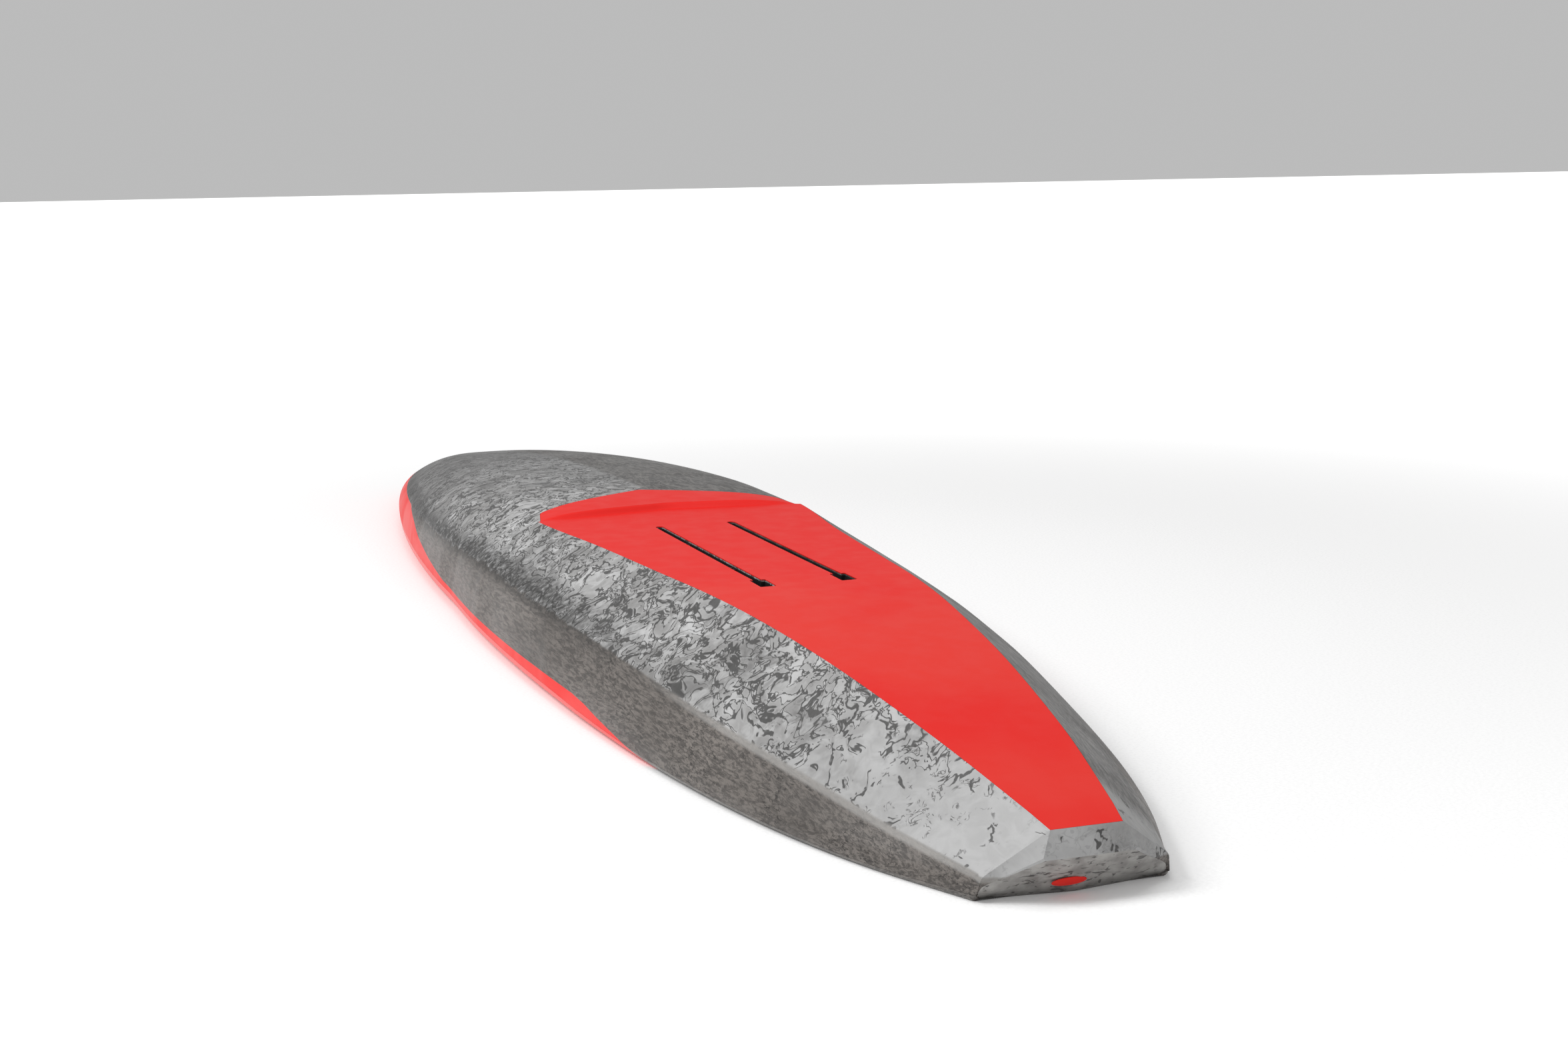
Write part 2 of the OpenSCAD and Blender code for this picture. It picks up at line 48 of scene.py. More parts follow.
# ---------------------------------------------------------------- hull lines, in millimetres
# x, then half-width and height of the flat's edge, of the chine and of the widest line of the rail
OFFSETS = np.array([
    [-1190, 36, 66, 83, 23, 86, 6],
    [-1080, 54, 90, 115, 36, 134, 5],
    [-980, 68, 107, 138, 47, 167, 6],
    [-880, 81, 121, 159, 56, 191, 7],
    [-780, 93, 131, 177, 64, 209, 8],
    [-680, 105, 138, 192, 72, 223, 10],
    [-580, 116, 141, 204, 78, 233, 12],
    [-480, 126, 141, 215, 83, 241, 15],
    [-280, 146, 141, 231, 89, 250, 18],
    [-80, 171, 141, 240, 93, 252, 20],
    [120, 171, 141, 240, 86, 246, 21],
], float)
MIDSHIP, NOSE, TIP_Z, LAG = 120.0, 1219.0, 44.0, 14.0
STEP, STEP_RUN, SWEEP, FLAT = -82.0, 10.0, 26.0, 0.7
SHOULDER, SHOULDER_PART, TIP, TIP_PART = -32.0, 0.65, 56.0, 0.012
SKIN, PANEL, RECESS, BOARD_T = 2.6, 1.0, 8.0, 141.0
SLOT_FRONT, SLOT_LEN, SLOT_W, GATE_LEN, GATE_W, TRACK_Y = -177.0, 404.0, 9.0, 37.0, 17.0, 45.0
CREASE = [(-1211, 0, 60), (-1211, 32, 60), (-1194, 83, 22), (-1190, 86, 6), (-1182, 80, 0), (-1187, 0, 0)]
TRANSOM = [(-1219, 0, 40), (-1218, 41, 40), (-1191, 83, 13), (-1188, 85, 6), (-1181, 78, 0), (-1191, 0, 0)]


def clamp01(v):
    return min(1.0, max(0.0, v))


def mix(a, b, t):
    return a + (b - a) * t


def ease(v):
    v = clamp01(v)
    return v * v * (3 - 2 * v)


def offset_at(col, x):
    xs, ys = OFFSETS[:, 0], OFFSETS[:, col]
    i = int(min(len(xs) - 2, max(0, np.searchsorted(xs, x, side="right") - 1)))
    slope = []
    for k in (i, i + 1):
        a, b = max(k - 1, 0), min(k + 1, len(xs) - 1)
        slope.append((ys[b] - ys[a]) / (xs[b] - xs[a]))
    span = xs[i + 1] - xs[i]
    t = clamp01((x - xs[i]) / span)
    base = mix(ys[i], ys[i + 1], t * t * (3 - 2 * t))
    return base + slope[0] * span * (t**3 - 2 * t * t + t) + slope[1] * span * (t**3 - t * t)


def nose_part(x, tip):
    return clamp01((x - MIDSHIP) / (tip - MIDSHIP))


def chine_w(x):
    return offset_at(3, x) if x < MIDSHIP else 240 * (1 - nose_part(x, NOSE + 4) ** 2) ** 0.6


def chine_z(x):
    return offset_at(4, x) if x < STEP else 93 - 44 * (x - STEP) / (NOSE - STEP)


def rail_w(x):
    return offset_at(5, x) if x < MIDSHIP else 246 * (1 - nose_part(x, NOSE) ** 1.9) ** 0.48


def rail_z(x):
    return offset_at(6, x) if x < STEP else 20 + 24 * clamp01((x - STEP) / (NOSE - STEP)) ** 1.3


def keel_z(x):
    return 149 - 0.000066 * (x - 23) ** 2


def deck_z(x):
    return 26 * clamp01((x - 500) / 719) ** 2


def deck_w(x):
    return rail_w(x) * mix(0.94, 0.9, clamp01((x + 1186) / 900))


def recess(x):
    return RECESS * ease((x + 1165) / 50) * ease((500 - x) / 80)


def flat_part(x):
    return offset_at(1, x) / chine_w(x) if x < STEP else FLAT


def round_z(x, t):
    return keel_z(x) - (keel_z(x) - chine_z(x)) * t ** mix(5.2, 2.8, nose_part(x, 1100))


def flat_z(x, t):
    if x <= STEP:
        return offset_at(2, x)
    return mix(BOARD_T, round_z(x, t), ease((x - STEP) / STEP_RUN))


def bottom_z(x, t):
    a = flat_part(x)
    if t <= a:
        return flat_z(x, t)
    bevel = mix(flat_z(x, a), chine_z(x), (t - a) / (1 - a))
    return bevel if x <= STEP else mix(bevel, round_z(x, t), ease((x - STEP) / 300))


def panel_part(x):
    if x <= STEP:
        return flat_part(x)
    if x <= SHOULDER:
        return mix(FLAT, SHOULDER_PART, (x - STEP) / (SHOULDER - STEP))
    part = mix(SHOULDER_PART, TIP_PART, clamp01((x - SHOULDER) / (TIP - SHOULDER)))
    return part + 0.35 * ease((x - TIP) / 400)


def sweep(x, t):
    return SWEEP * clamp01(1 - t / FLAT) * ease(1 - abs(x - STEP) / 260)


def lag(x):
    return LAG * ease((x - 900) / (NOSE - 900))


def chine_radius(x):
    """How far the chine is softened, crisp at the tail and round towards the nose."""
    return mix(2.2, 12.0, ease((x + 900) / 1100))


# ---------------------------------------------------------------- sections with many points
N_PANEL, N_SIDE, N_TUCK, N_DECK = 14, 46, 10, 16


def resample(points, count):
    points = np.asarray(points, float)
    s = np.concatenate([[0], np.cumsum(np.linalg.norm(np.diff(points, axis=0), axis=1))])
    at = np.linspace(0, s[-1], count)
    return np.stack([np.interp(at, s, points[:, k]) for k in range(3)], axis=1)


def softened(points, radius):
    """A dense polyline with its corners rounded and its two ends kept."""
    length = np.linalg.norm(np.diff(points, axis=0), axis=1).sum()
    dense = resample(points, max(60, int(length)))
    step = length / (len(dense) - 1)
    half = max(1, int(round(radius / step)))
    for _ in range(2):
        ends = [2 * dense[0] - dense[half:0:-1], dense, 2 * dense[-1] - dense[-2:-half - 2:-1]]
        padded = np.concatenate(ends)
        kernel = np.ones(2 * half + 1) / (2 * half + 1)
        dense = np.stack([np.convolve(padded[:, k], kernel, "valid") for k in range(3)], axis=1)
    return dense


def inset_x(x, inward):
    return x * (1 - 0.00115 * inward)


def side_line(x, inward):
    """From the panel's edge over the bevel and the chine to the widest line of the rail."""
    e, c, a = panel_part(x), chine_w(x), flat_part(x)
    pts = []
    for t in np.linspace(e, 1, 40):
        side = clamp01((t - a) / (1 - a))
        pts.append((
            inset_x(x + sweep(x, t) - lag(x), inward),
            t * c - inward * 0.9 * side,
            bottom_z(x, t) - inward * mix(1, 0.75, side),
        ))
    for v in np.linspace(0, 1, 24)[1:]:
        pts.append((
            inset_x(x - lag(x) * (1 - v), inward),
            mix(c, rail_w(x), math.sin(v * math.pi / 2)) - inward,
            mix(chine_z(x), rail_z(x), v) - inward * 0.75 * (1 - v),
        ))
    pts = np.array(pts)
    radius = chine_radius(x) * clamp01(rail_w(x) / 60)
    return resample(softened(pts, max(1.0, radius)), N_SIDE)


def panel_line(x, inward, drop, gap):
    e, c = panel_part(x), chine_w(x)
    pts = []
    for t in np.linspace(0, e, N_PANEL):
        pts.append((
            inset_x(x + sweep(x, t) - lag(x), inward),
            max(0.0, t * c - (gap if t == e else 0)),
            bottom_z(x, t) - inward - drop,
        ))
    return np.array(pts)


def deck_line(x, inward):
    pts = []
    for a in np.linspace(0, math.pi / 2, N_TUCK):
        pts.append((
            inset_x(x - lag(x) * a / (math.pi / 2), inward),
            mix(deck_w(x), rail_w(x), math.cos(a)) - inward * (1 - a / math.pi),
            mix(rail_z(x), deck_z(x), math.sin(a)) + inward * a / (math.pi / 2),
        ))
    stops = [(1.0, 0.0), (0.915, 0.0), (0.905, 0.03), (0.872, 0.97), (0.862, 1.0), (0.0, 1.0)]
    close_steps = [0.97, 0.94, 0.915, 0.905, 0.895, 0.883, 0.872, 0.862]
    for p in close_steps + [0.8, 0.65, 0.5, 0.35, 0.2, 0.1, 0.04, 0.0]:
        h = np.interp(-p, [-s[0] for s in stops], [s[1] for s in stops])
        pts.append((inset_x(x - lag(x), inward), deck_w(x) * p, deck_z(x) + inward + recess(x) * h))
    return np.array(pts)


def tail_line(corners, inward, push, count, first, last, radius=2.0):
    pts = []
    for p in corners[first:last + 1]:
        pts.append((p[0] + push * inward, p[1] * (1 - inward / 60), mix(p[2], 20, inward / 24)))
    pts = np.array(pts, float)
    if last - first > 1:
        pts = softened(pts, radius)
    return resample(pts, count)


def stations():
    xs = list(np.linspace(-1184, STEP - 8, 150))
    xs += list(np.linspace(STEP - 5, STEP + STEP_RUN + 4, 14))
    xs += list(np.linspace(STEP + STEP_RUN + 7, TIP, 22))
    xs += [TIP + (NOSE - TIP) * math.sin(math.radians(a)) for a in np.linspace(0.25, 86, 120)]
    return xs


STATIONS = stations()


def between_rows(a, b, parts):
    return [a + (b - a) * t for t in parts]


def mirrored(row):
    out = row.copy()
    out[:, 1] *= -1
    return out


def over_bottom(row):
    return np.concatenate([row[::-1], mirrored(row[1:])])


def over_deck(row):
    return np.concatenate([mirrored(row), row[::-1][1:]])


TAIL_PARTS = [0, 0.12, 0.3, 0.5, 0.7, 0.88]


def bottom_rows(inward, drop):
    """Rows of the bottom skin. Drop is the depth of the rebate under the red panel."""
    def tail_row(corners, push, down):
        a = tail_line(corners, inward, push, N_PANEL, 0, 1)
        a[:, 2] -= down
        if down:
            a[:, 0] += 0.3
        return np.concatenate([a, tail_line(corners, inward, push, N_SIDE, 1, 3)])

    edge, crease = tail_row(TRANSOM, 0, 0), tail_row(CREASE, 1.5, 0)
    rows = between_rows(edge, crease, TAIL_PARTS) + [crease]
    first = np.concatenate([panel_line(STATIONS[0], inward, drop, 0), side_line(STATIONS[0], inward)])
    sunk = tail_row(CREASE, 1.5, drop)
    rows += between_rows(sunk, first, [0.04 if inward else 0.015, 0.2, 0.4, 0.6, 0.8])
    for x in STATIONS:
        rows.append(np.concatenate([panel_line(x, inward, drop if x <= TIP else 0, 0), side_line(x, inward)]))
    return [over_bottom(r) for r in rows]


def deck_rows(inward):
    def tail_row(corners, push):
        a = tail_line(corners, inward, push, N_TUCK, 3, 4)
        return np.concatenate([a, tail_line(corners, inward, push, N_DECK + 1, 4, 5)[1:]])

    edge, crease = tail_row(TRANSOM, 0), tail_row(CREASE, 1.5)
    rows = between_rows(edge, crease, TAIL_PARTS) + [crease]
    first = deck_line(STATIONS[0], inward)
    rows += between_rows(crease, first, [0.25, 0.5, 0.75])
    rows += [deck_line(x, inward) for x in STATIONS]
    return [over_deck(r) for r in rows]


def parted(rows, by):
    for r in rows:
        r[0, 2] += by
        r[-1, 2] += by
    return rows


# ---------------------------------------------------------------- meshes
def new_object(name, verts, faces):
    mesh = bpy.data.meshes.new(name)
    mesh.from_pydata([tuple(v) for v in np.asarray(verts, float) / 1000.0], [], faces)
    mesh.update()
    obj = bpy.data.objects.new(name, mesh)
    bpy.context.scene.collection.objects.link(obj)
    return obj


def smooth(obj, angle=22):
    obj.data.shade_smooth()
    obj.data.set_sharp_from_angle(angle=math.radians(angle))


def tidy_mesh(obj, distance=1e-6):
    import bmesh
    bm = bmesh.new()
    bm.from_mesh(obj.data)
    bmesh.ops.remove_doubles(bm, verts=bm.verts, dist=distance)
    bmesh.ops.dissolve_degenerate(bm, edges=bm.edges, dist=distance)
    bmesh.ops.recalc_face_normals(bm, faces=bm.faces)
    bm.to_mesh(obj.data)
    bm.free()


def shell(name, outer, inner, tips=()):
    """Closed shell between two grids, run out to two points at the nose if tips is given."""
    n, m = len(outer), len(outer[0])
    inside, front, point = n * m, (n - 1) * m, 2 * n * m
    verts = np.concatenate(list(outer) + list(inner) + ([np.array(tips)] if len(tips) else []))
    faces = []
    for i in range(n - 1):
        for j in range(m - 1):
            a = i * m + j
            faces.append((a, a + 1, a + m + 1, a + m))
            faces.append((inside + a + m, inside + a + m + 1, inside + a + 1, inside + a))
        a, p = i * m, i * m + m - 1
        faces.append((a, a + m, inside + a + m, inside + a))
        faces.append((p + m, p, inside + p, inside + p + m))
    for j in range(m - 1):
        f = front + j
        faces.append((j + 1, j, inside + j, inside + j + 1))
        if len(tips):
            faces.append((f, f + 1, point))
            faces.append((inside + f + 1, inside + f, point + 1))
        else:
            faces.append((f, f + 1, inside + f + 1, inside + f))
    if len(tips):
        faces.append((front, point, point + 1, inside + front))
        faces.append((front + m - 1, inside + front + m - 1, point + 1, point))
    return new_object(name, verts, faces)


def prism(outline, z1, z2, name="cutter"):
    """Upright prism over a counter-clockwise outline."""
    n = len(outline)
    verts = [(x, y, z1) for x, y in outline] + [(x, y, z2) for x, y in outline]
    faces = [tuple(range(n - 1, -1, -1)), tuple(range(n, 2 * n))]
    faces += [(i, (i + 1) % n, n + (i + 1) % n, n + i) for i in range(n)]
    return new_object(name, verts, faces)


def rounded_box(x1, x2, y1, y2, r, steps=5):
    pts = []
    corners = ((x2 - r, y2 - r, 0), (x1 + r, y2 - r, 90), (x1 + r, y1 + r, 180), (x2 - r, y1 + r, 270))
    for cx, cy, start in corners:
        for k in range(steps + 1):
            a = math.radians(start + 90 * k / steps)
            pts.append((cx + r * math.cos(a), cy + r * math.sin(a)))
    return pts


def circle(x, y, r, steps=40):
    turns = [2 * math.pi * k / steps for k in range(steps)]
    return [(x + r * math.cos(a), y + r * math.sin(a)) for a in turns]


def cut(obj, cutters):
    for c in cutters:
        mod = obj.modifiers.new("cut", "BOOLEAN")
        mod.operation, mod.solver, mod.object = "DIFFERENCE", "EXACT", c
    depsgraph = bpy.context.evaluated_depsgraph_get()
    mesh = bpy.data.meshes.new_from_object(obj.evaluated_get(depsgraph))
    obj.modifiers.clear()
    obj.data = mesh
    for c in cutters:
        bpy.data.objects.remove(c, do_unlink=True)
    return obj


def slot_cutters(spare, z1, z2):
    rear, out = SLOT_FRONT - SLOT_LEN, []
    for y in (-TRACK_Y, TRACK_Y):
        w, g = SLOT_W / 2 + spare, GATE_W / 2 + spare
        out.append(prism(rounded_box(rear - spare, SLOT_FRONT + spare, y - w, y + w, w * 0.98, 8), z1, z2))
        gate = rounded_box(rear - spare, rear + GATE_LEN + spare, y - g, y + g, 1.5)
        out.append(prism(gate, z1 - 0.1, z2 + 0.1))
    return out


def stamp(obj):
    """Stores where each vertex lies from the panel's edge, the chine and the paint line."""
    mesh = obj.data
    co = np.empty(len(mesh.vertices) * 3)
    mesh.vertices.foreach_get("co", co)
    co = co.reshape(-1, 3) * 1000
    table = np.linspace(-1225, NOSE, 1200)
    edge_w = np.array([max(0, panel_part(x) * chine_w(x)) for x in table])
    chz = np.array([chine_z(x) if x > -1190 else 22 for x in table])
    paint = np.array([paint_z(x) for x in table])
    shifted = co[:, 0] - SWEEP * 0.3 * (abs(co[:, 0] - STEP) < 100)
    values = {
        "edge": np.abs(co[:, 1]) - np.interp(shifted, table, edge_w),
        "chine": co[:, 2] - np.interp(co[:, 0], table, chz),
        "paint": np.interp(co[:, 0], table, paint) - co[:, 2],
    }
    for name, v in values.items():
        attr = mesh.attributes.new(name, "FLOAT", "POINT")
        attr.data.foreach_set("value", (v / 1000).astype(np.float32))


def paint_z(x):
    """Height up to which the red of the deck runs up the rail."""
    if x > 560:
        return chine_z(min(x, NOSE - 8)) + 0.5 * ease((x - 700) / 300)
    return np.interp(x, [-1225, -760, -700, -628, -577, -541, -500, -371, 53, 165, 282, 396, 457, 560],
                     [-8, -5, 5, 14, 20, 25, 28, 28.5, 28, 30, 40, 52, 62, 70.5])


# ---------------------------------------------------------------- node materials
def srgb(r, g, b):
    def lin(v):
        v /= 255
        return v / 12.92 if v <= 0.04045 else ((v + 0.055) / 1.055) ** 2.4
    return (lin(r), lin(g), lin(b), 1)


class Mat:
    """A material whose nodes are written as nested calls."""

    def __init__(self, name):
        self.m = bpy.data.materials.new(name)
        self.m.use_nodes = True
        self.t = self.m.node_tree
        self.t.nodes.clear()
        self.out = self.t.nodes.new("ShaderNodeOutputMaterial")
        self.bsdf = self.t.nodes.new("ShaderNodeBsdfPrincipled")
        self.t.links.new(self.bsdf.outputs[0], self.out.inputs[0])
        self.where = self.t.nodes.new("ShaderNodeTexCoord").outputs["Object"]

    def put(self, socket, value):
        if isinstance(value, bpy.types.NodeSocket):
            self.t.links.new(value, socket)
        elif value is not None:
            socket.default_value = value

    def set(self, **values):
        for k, v in values.items():
            self.put(self.bsdf.inputs[k.replace("_", " ")], v)
        return self.m

    def math(self, op, a, b=None, c=None, clamp=False):
        n = self.t.nodes.new("ShaderNodeMath")
        n.operation, n.use_clamp = op, clamp
        for i, v in enumerate((a, b, c)):
            self.put(n.inputs[i], v)
        return n.outputs[0]

    def scaled(self, x, y, z, at=None):
        n = self.t.nodes.new("ShaderNodeVectorMath")
        n.operation = "MULTIPLY"
        self.put(n.inputs[0], at or self.where)
        n.inputs[1].default_value = (x, y, z)
        return n.outputs[0]

    def noise(self, scale, detail=3, rough=0.5, distort=0.0, at=None, color=False):
        n = self.t.nodes.new("ShaderNodeTexNoise")
        self.put(n.inputs["Vector"], at or self.where)
        n.inputs["Scale"].default_value = scale
        n.inputs["Detail"].default_value = detail
        n.inputs["Roughness"].default_value = rough
        n.inputs["Distortion"].default_value = distort
        return n.outputs["Color" if color else 0]

    def warped(self, scale, by, at=None):
        """Coordinates pushed about by a noise, by that many metres."""
        at = at or self.where
        n = self.t.nodes.new("ShaderNodeVectorMath")
        n.operation = "MULTIPLY_ADD"
        self.put(n.inputs[0], self.noise(scale, 2, at=at, color=True))
        n.inputs[1].default_value = (by, by, by)
        self.put(n.inputs[2], at)
        return n.outputs[0]

    def voronoi(self, scale, feature="F1", at=None, out="Distance", randomness=1.0):
        n = self.t.nodes.new("ShaderNodeTexVoronoi")
        n.feature = feature
        self.put(n.inputs["Vector"], at or self.where)
        n.inputs["Scale"].default_value = scale
        n.inputs["Randomness"].default_value = randomness
        return n.outputs[out]

    def map(self, value, a, b, to0=0.0, to1=1.0, curve="SMOOTHSTEP"):
        n = self.t.nodes.new("ShaderNodeMapRange")
        n.interpolation_type = curve
        for i, v in enumerate((value, a, b, to0, to1)):
            self.put(n.inputs[i], v)
        return n.outputs[0]

    def blend(self, factor, a, b, kind="MIX"):
        n = self.t.nodes.new("ShaderNodeMix")
        n.data_type, n.blend_type = "RGBA", kind
        self.put(n.inputs[0], factor)
        self.put(n.inputs[6], a)
        self.put(n.inputs[7], b)
        return n.outputs[2]

    def near(self, value, middle, width):
        """1 where a value is at the middle, falling to 0 at that width from it."""
        away = self.math("ABSOLUTE", self.math("SUBTRACT", value, middle))
        return self.math("SUBTRACT", 1, self.math("DIVIDE", away, width), clamp=True)

    def attribute(self, name):
        n = self.t.nodes.new("ShaderNodeAttribute")
        n.attribute_name = name
        return n.outputs["Fac"]

    def part(self, axis):
        n = self.t.nodes.new("ShaderNodeSeparateXYZ")
        self.put(n.inputs[0], self.where)
        return n.outputs[axis]

    def bump(self, height, distance, strength=1.0, normal=None):
        n = self.t.nodes.new("ShaderNodeBump")
        n.inputs["Strength"].default_value = strength
        n.inputs["Distance"].default_value = distance
        self.put(n.inputs["Height"], height)
        if normal is not None:
            self.put(n.inputs["Normal"], normal)
        return n.outputs[0]


RED = srgb(226, 20, 8)
RED_LIGHT = srgb(226, 48, 36)


def red_color(m):
    """Satin red that is a little paler in soft patches."""
    patch = m.noise(3.2, 3, 0.55)
    aft = m.map(m.part(0), -0.15, -0.75)
    pale = m.math("MULTIPLY", m.map(patch, 0.42, 0.62), aft)
    color = m.blend(m.math("MULTIPLY", pale, 0.75), RED, RED_LIGHT)
    grain = m.noise(900, 2, 0.6)
    return m.blend(m.map(grain, 0.35, 0.65, 0.0, 0.05), color, srgb(200, 24, 16))


def red_paint(name="red_satin"):
    m = Mat(name)
    peel = m.noise(260, 2, 0.5)
    return m.set(
        Base_Color=red_color(m),
        Roughness=m.map(m.noise(35, 3), 0.3, 0.7, 0.5, 0.58),
        Specular_IOR_Level=0.3,
        Normal=m.bump(peel, 0.00006, 0.35),
    )


def wrinkles(m, crowd):
    """Curly dark lines of crinkled foil, crowded where crowd is 1 and rare where it is 0."""
    swirl = m.warped(14, 0.045, m.scaled(0.85, 1, 1))
    fine = m.warped(55, 0.012, swirl)
    n1 = m.noise(30, 3, 0.6, 0.8, fine)
    n2 = m.noise(72, 2, 0.55, 0.6, swirl)
    line1 = m.near(n1, 0.5, 0.034)
    line2 = m.near(n2, 0.52, 0.036)
    spread = m.math("MULTIPLY", crowd, 0.34)
    keep1 = m.map(m.math("ADD", m.noise(34, 2, 0.6, 0.5), spread), 0.60, 0.66)
    keep2 = m.map(m.math("ADD", m.noise(26, 2, 0.6, 0.9, swirl), spread), 0.72, 0.80)
    lines = m.math("MAXIMUM", m.math("MULTIPLY", line1, keep1), m.math("MULTIPLY", line2, keep2))
    return m.map(lines, 0.05, 0.6), n1, n2


def rail_color(m):
    """Brushed warm grey of the rails, with dark specks towards the tail, and its streaks; the grey is kept
    darker than the bevel's, partly the rail's own finish and partly painted shade of the steep rail side.
    """
    x = m.part(0)
    streak = m.noise(330, 4, 0.7, 0.6, m.warped(12, 0.03, m.scaled(0.16, 1, 1)))
    cloud = m.noise(7, 3, 0.5)
    # Rail greys kept dark: partly the rail's own finish, partly painted shade of the steep rail side.
    rail = m.blend(m.map(streak, 0.38, 0.62), srgb(72, 68, 65), srgb(118, 112, 107))
    rail = m.blend(m.map(cloud, 0.3, 0.7, 0.0, 0.45), rail, srgb(66, 62, 59))
    specks = m.map(m.noise(420, 3, 0.7, 0.8, m.scaled(0.35, 1, 1)), 0.53, 0.62)
    specks = m.math("MULTIPLY", specks, m.map(m.noise(16, 3, 0.6), 0.42, 0.58, 0.25, 1.0))
    return m.blend(m.math("MULTIPLY", specks, m.map(x, 0.1, -0.9, 0.15, 0.8)), rail, srgb(38, 35, 33)), streak


def carbon_skin():
    m = Mat("forged_carbon")
    x = m.part(0)
    density = m.map(x, -1.12, -0.80, 0.0, 1.0)
    nose = m.map(x, 0.0, 0.8)
    closeness = m.math("MULTIPLY", m.map(m.attribute("edge"), 0.045, 0.0), m.map(x, -1.15, -1.08))
    crowd = m.math("ADD", density, m.math("MULTIPLY", closeness, 0.55), clamp=True)
    lines, n1, n2 = wrinkles(m, crowd)
    patch = m.noise(9, 3, 0.6, 0.5)
    tone = m.math("ADD", m.map(n2, 0.35, 0.65, 0.0, 0.5), m.map(patch, 0.35, 0.65, 0.0, 0.5))
    light = m.blend(tone, srgb(128, 127, 126), srgb(182, 182, 182))
    light = m.blend(m.math("MULTIPLY", m.math("SUBTRACT", 1, density), 0.7), light, srgb(168, 168, 168))
    # Darker towards the nose: painted shade of the rounded nose bottom that turns away from the light.
    light = m.blend(m.math("MULTIPLY", nose, 0.75), light, srgb(84, 83, 82))
    dark = srgb(36, 35, 34)
    bevel = m.blend(m.math("MULTIPLY", lines, 0.85), light, dark)
    fleck_line = m.noise(105, 2, 0.5, 1.0, m.warped(40, 0.02))
    fleck = m.near(fleck_line, 0.5, 0.05)
    fleck = m.math("MULTIPLY", m.map(fleck, 0.1, 0.7), m.map(m.noise(48, 2, 0.6, 0.3), 0.545, 0.60))
    tail_part = m.math("MULTIPLY", m.map(x, -0.80, -0.95), m.map(x, -1.175, -1.15, 0.25, 1.0))
    bevel = m.blend(m.math("MULTIPLY", m.math("MULTIPLY", fleck, tail_part), 0.75), bevel, srgb(58, 57, 56))
    shade = m.math("MULTIPLY", m.map(m.noise(18, 4, 0.7, 0.6), 0.5, 0.66), m.math("MULTIPLY", crowd, 0.5))
    bevel = m.blend(shade, bevel, srgb(76, 75, 74))
    # Darker on the far side: painted shade of the bevel and rail that face away from the key light, with fine
    # hair streaks in it.
    far = m.map(m.part(1), 0.0, -0.015)
    hair = m.map(m.noise(190, 3, 0.65, 0.8, m.warped(9, 0.06, m.scaled(0.22, 1, 1))), 0.4, 0.62)
    bevel = m.blend(m.math("MULTIPLY", far, m.map(x, -1.17, -1.12, 0.3, 0.9)), bevel,
                    m.blend(hair, srgb(58, 56, 54), srgb(104, 101, 98)))
    rail = rail_color(m)[0]
    below = m.attribute("chine")
    wobble = m.math("MULTIPLY", m.math("SUBTRACT", m.noise(45, 3, 0.6), 0.5), m.map(x, -0.8, 0.0, 0.0, 0.016))
    side = m.map(m.math("ADD", below, wobble), 0.001, -0.0015)
    color = m.blend(side, bevel, rail)
    off_band = m.math("ABSOLUTE", m.math("SUBTRACT", below, 0.004))
    band = m.math("MULTIPLY", m.map(off_band, 0.02, 0.002), m.map(x, -0.75, -0.25))
    band = m.math("MULTIPLY", band, m.map(m.noise(130, 3, 0.7), 0.3, 0.62, 0.3, 0.95))
    color = m.blend(band, color, srgb(38, 37, 36))
    # Light strip just under the chine towards the tail, on the near side only: a painted highlight on the
    # narrow chine facet.
    off_chine_highlight = m.math("ABSOLUTE", m.math("ADD", below, 0.002))
    near_chine_highlight = m.math("MULTIPLY", m.map(off_chine_highlight, 0.004, 0.001), m.map(x, -0.6, -0.85, 0.0, 0.6))
    near_chine_highlight = m.math("MULTIPLY", near_chine_highlight, m.math("SUBTRACT", 1, far))
    color = m.blend(near_chine_highlight, color, srgb(158, 156, 153))
    red = m.map(m.attribute("paint"), -0.0003, 0.0003)
    color = m.blend(red, color, RED)
    height = m.math("ADD", n1, m.math("MULTIPLY", n2, 0.5))
    flat = m.math("MAXIMUM", red, m.math("MULTIPLY", side, 0.85))
    height = m.math("MULTIPLY", height, m.math("SUBTRACT", 1, flat))
    return m.set(
        Base_Color=color,
        Roughness=m.map(patch, 0.35, 0.65, 0.4, 0.52),
        Specular_IOR_Level=0.4,
        Normal=m.bump(height, 0.0016, 0.6),
    )


def transom_carbon():
    m = Mat("flecked_carbon")
    z = m.part(2)
    fleck = m.map(m.noise(210, 2.5, 0.6, 0.8, m.scaled(1, 0.42, 1.0)), 0.55, 0.66)
    base = m.blend(m.map(m.noise(60, 3), 0.3, 0.7), srgb(128, 125, 122), srgb(168, 166, 163))
    color = m.blend(m.math("MULTIPLY", fleck, 0.85), base, srgb(50, 48, 47))
    # Darker towards the bottom edge of the transom: painted shade of the rounded lower edge near the floor.
    lower_edge_shade = m.map(z, 0.012, 0.0, 0.0, 0.6)
    color = m.blend(lower_edge_shade, color, srgb(62, 60, 58))
    return m.set(Base_Color=color, Roughness=0.42, Metallic=0.2, Coat_Weight=0.3, Coat_Roughness=0.2,
                 Normal=m.bump(fleck, -0.0002, 0.5))


